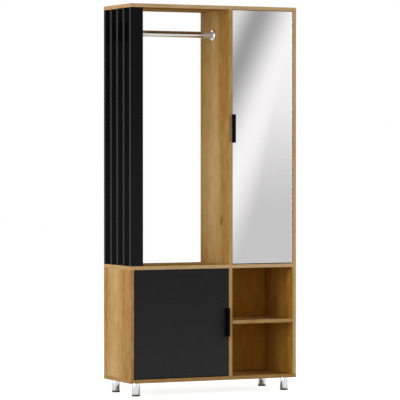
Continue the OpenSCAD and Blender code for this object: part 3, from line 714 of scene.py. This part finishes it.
def cut_cross(mesh, head, angle):
    """Sinks a tapered cross, turned by an angle, in the flat face of a screw's head."""
    centre = head.calc_center_median()
    normal = head.normal.copy()
    radius = max((corner.co - centre).length for corner in head.verts)
    side = Matrix.Rotation(angle, 3, normal) @ normal.orthogonal().normalized()
    up = normal.cross(side)
    flat = [(side * x + up * y) * radius for x, y in CROSS]
    sunk = normal * radius * CROSS_DEPTH
    rim = [mesh.verts.new(centre + point) for point in flat]
    floor = [mesh.verts.new(centre + point * CROSS_TAPER - sunk) for point in flat]
    around = list(zip(rim, rim[1:] + rim[:1]))
    border = list(head.edges) + [mesh.edges.new(pair) for pair in around]
    bmesh.ops.delete(mesh, geom=[head], context="FACES_ONLY")
    bmesh.ops.triangle_fill(mesh, edges=border, use_beauty=True, normal=normal)
    for (first, second), (low, next_low) in zip(around, zip(floor, floor[1:] + floor[:1])):
        mesh.faces.new((first, second, next_low, low))
    mesh.faces.new(floor)


for node in CROSSED:
    mesh = welded(node)
    whole_faces(mesh)
    heads = [max(group, key=lambda face: face.calc_area()) for group in islands(mesh)]
    for count, head in enumerate(heads):
        cut_cross(mesh, head, count * CROSS_TURN)
    bmesh.ops.recalc_face_normals(mesh, faces=mesh.faces)
    shade(mesh)
    keep(piece_from(mesh, node + "_crossed"), node)

# Every other node keeps its own shape, with smooth round faces
for node in NODE_SLOT:
    if not any(node in (piece.get("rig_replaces") or []) for piece in bpy.data.objects):
        mesh = welded(node)
        shade(mesh)
        keep(piece_from(mesh, node + "_smooth"), node)

# Stage: a pale floor and a white surround, as the camera, metal and glass see them
FLOOR_SIZE = 60.0
FLOOR_PALE = 0.6
FLOOR_LIFT = 0.82
FLOOR_NEAR, FLOOR_FAR = 5.0, 28.0
NEAR_MIRRORED, FAR_MIRRORED = 0.5, 0.8
UNDER_EDGE = 0.04
WALL_LIGHT, CEILING_LIGHT = 0.68, 0.18
CEILING_STEEP = 0.9


def plate(name, width, depth, matrix):
    """A flat rectangle of the stage, centred on the matrix's place."""
    mesh = bmesh.new()
    bmesh.ops.create_grid(mesh, x_segments=1, y_segments=1, size=0.5)
    bmesh.ops.scale(mesh, vec=(width, depth, 1.0), verts=mesh.verts)
    bmesh.ops.transform(mesh, matrix=matrix, verts=mesh.verts)
    piece = piece_from(mesh, name)
    return piece


def pale_floor():
    """A matt floor that looks white, and in reflections dimmer nearby and dark under the body,
    where a shadow is painted.
    """
    finish = Finish("floor_pale")
    spot = finish.place()
    body_high = cad_box[1]
    inside = (
        # painted shadow under the body, seen only by reflections
        finish.band(
            finish.maths("ABSOLUTE", finish.along(spot, axis)),
            body_high[axis] - UNDER_EDGE, body_high[axis] + UNDER_EDGE, 1.0, 0.0,
        ) for axis in (X, Y)
    )
    under = finish.maths("MULTIPLY", *inside)
    distance = finish.node("ShaderNodeVectorMath", {"operation": "LENGTH"}, _0=spot)
    away = Value(finish, distance.outputs["Value"])
    growing = finish.band(away, FLOOR_NEAR, FLOOR_FAR, NEAR_MIRRORED, FAR_MIRRORED)
    direct = finish.ray("Is Camera Ray") + finish.ray("Is Transmission Ray")
    mirrored = finish.ray("Is Glossy Ray") * (1 - under) * growing
    matt = finish.node("ShaderNodeBsdfDiffuse", Color=(FLOOR_PALE, FLOOR_PALE, FLOOR_PALE, 1.0))
    glow = finish.node("ShaderNodeEmission", Strength=direct * FLOOR_LIFT + mirrored)
    finish.replace_shader(
        finish.node("ShaderNodeAddShader", _0=matt.outputs[0], _1=glow.outputs[0])
    )
    return finish.owner


def white_surround():
    """A world that is white to look at and lights the object softly, less from above."""
    studio = bpy.data.worlds.new("studio")
    finish = Finish(owner=studio)
    aim = finish.node("ShaderNodeTexCoord").outputs["Generated"]
    steep = finish.maths("ABSOLUTE", finish.along(aim, Z))
    soft = finish.band(steep, 0.0, CEILING_STEEP, WALL_LIGHT, CEILING_LIGHT)
    opaque = finish.ray("Is Camera Ray") + finish.ray("Is Glossy Ray")
    looked_at = finish.maths("MINIMUM", opaque + finish.ray("Is Transmission Ray"), 1.0)
    background = finish.tree.nodes["Background"]
    background.inputs["Color"].default_value = (1.0, 1.0, 1.0, 1.0)
    finish.feed(background.inputs["Strength"], soft * (1 - looked_at) + looked_at)
    return studio


plate("floor", FLOOR_SIZE, FLOOR_SIZE, Matrix.Identity(4)).data.materials.append(pale_floor())
bpy.context.scene.world = white_surround()

# Lamps: place, width, height and power, all turned to the middle of the wardrobe
MIDDLE = Vector((0.0, 0.0, 1.0))
LAMPS = {
    "key_left": ((-4.8, -1.2, 1.5), 3.0, 3.0, 154.0),
    "fill_right": ((4.4, -2.4, 1.4), 2.6, 2.6, 118.0),
    "top_light": ((0.0, 0.0, 3.6), 1.2, 0.25, 16.0),
    "back_light": ((4.4, 3.0, 0.5), 1.6, 1.6, 75.0),
}
for name, (place, width, height, power) in LAMPS.items():
    lamp = bpy.data.lights.new(name, "AREA")
    lamp.shape = "RECTANGLE"
    lamp.size = width
    lamp.size_y = height
    lamp.energy = power
    holder = bpy.data.objects.new(name, lamp)
    bpy.context.scene.collection.objects.link(holder)
    holder.location = place
    holder.rotation_euler = (MIDDLE - Vector(place)).to_track_quat("-Z", "Y").to_euler()

# Camera: at the photograph's place, with its lens and its slight tilt down
IMAGE = 400
FOCAL_PX = 2538.5
HORIZON_PX = 157.45
TILT = math.atan((IMAGE / 2 - HORIZON_PX) / FOCAL_PX)
SENSOR = 36.0
YAW = math.radians(25.225)
CAMERA_PLACE = (-5.3766, -11.3999, 1.1614)
CAMERA_REACH = 200.0
camera = bpy.data.cameras.new("camera")
camera.sensor_width = SENSOR
camera.lens = FOCAL_PX / IMAGE * SENSOR
camera.clip_end = CAMERA_REACH
viewer = bpy.data.objects.new("camera", camera)
bpy.context.scene.collection.objects.link(viewer)
viewer.location = CAMERA_PLACE
viewer.rotation_euler = (math.radians(90) - TILT, 0.0, -YAW)
bpy.context.scene.camera = viewer
bpy.context.scene.view_settings.view_transform = "Standard"

# Cards that only reflections show, as painted reflections: soft greys where the mirror looks, black
# where the rail looks
CARD_Y = -4.0
CARD_SPARE = 0.1
CARD_GLOW = 1.03
SLANT_ACROSS, SLANT_DOWN = 0.36, 0.64
CORNER_GREY, DARK_GREY, PALE_GREY, FALL_GREY = 222, 158, 247, 198
DARK_AT, PALE_AT = 0.158, 0.42
FALL_START, FALL_END = 0.43, 0.68
HIGH_GREY, LOW_GREY = 245, 199
LOW_START, LOW_END = 0.2, 0.84
RAIL_CARD_LEFT = 1.2
RAIL_CARD_RIGHT = 4.5
RAIL_CARD_HEAD = 6.0
RAIL_CARD_GREY = 0.03


def card_spot(spot, plane):
    """Where a reflection at a spot of the mirror, seen by the camera, meets the card."""
    eye = Vector((viewer.location.x, 2 * plane - viewer.location.y, viewer.location.z))
    return eye + (spot - eye) * ((eye.y - CARD_Y) / (eye.y - plane))


def grey(value):
    return srgb(value, value, value)[0]


def reflected_card(finish, strength, left, right, foot, head):
    """An upright card that glows for reflections and is clear for everything else."""
    glow = finish.node("ShaderNodeEmission", Strength=strength)
    clear = finish.node("ShaderNodeBsdfTransparent")
    finish.replace_shader(finish.node(
        "ShaderNodeMixShader", _0=finish.ray("Is Glossy Ray"),
        _1=clear.outputs[0], _2=glow.outputs[0],
    ))
    centre = Vector((middle(left, right), CARD_Y, middle(head, foot)))
    matrix = Matrix.Translation(centre) @ Matrix.Rotation(math.radians(90), 4, "X")
    card = plate(finish.owner.name, right - left, head - foot, matrix)
    card.data.materials.append(finish.owner)


def mirror_card():
    """A card with a slanting dark band that turns light and then grey towards the floor."""
    low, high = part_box("mirror_glass")
    left, foot = (card_spot(low, low.y)[axis] for axis in (X, Z))
    right, head = (card_spot(Vector((high.x, low.y, high.z)), low.y)[axis] for axis in (X, Z))
    finish = Finish("mirror_card")
    spot = finish.place()
    across = (finish.along(spot, X) - left) * (1 / (right - left))
    down = (head - finish.along(spot, Z)) * (1 / (head - foot))
    slant = across * SLANT_ACROSS + down * SLANT_DOWN
    edge = finish.band(slant, 0.0, DARK_AT, grey(CORNER_GREY), grey(DARK_GREY))
    climb = finish.band(slant, DARK_AT, PALE_AT, grey(DARK_GREY), grey(PALE_GREY))
    fall = finish.band(slant, FALL_START, FALL_END, grey(PALE_GREY), grey(FALL_GREY))
    lower = finish.band(down, LOW_START, LOW_END, grey(HIGH_GREY), grey(LOW_GREY))
    brightness = finish.maths(
        "MINIMUM", finish.maths("MAXIMUM", edge, climb), finish.maths("MAXIMUM", fall, lower)
    )
    reflected_card(
        finish, brightness * CARD_GLOW,
        left - CARD_SPARE, right + CARD_SPARE, foot - CARD_SPARE, head + CARD_SPARE,
    )
    return head + CARD_SPARE


def rail_card(foot):
    """A black card above the mirror's, for the dark band along the rail."""
    reflected_card(
        Finish("rail_card"), RAIL_CARD_GREY, RAIL_CARD_LEFT, RAIL_CARD_RIGHT, foot, RAIL_CARD_HEAD
    )


rail_card(mirror_card())
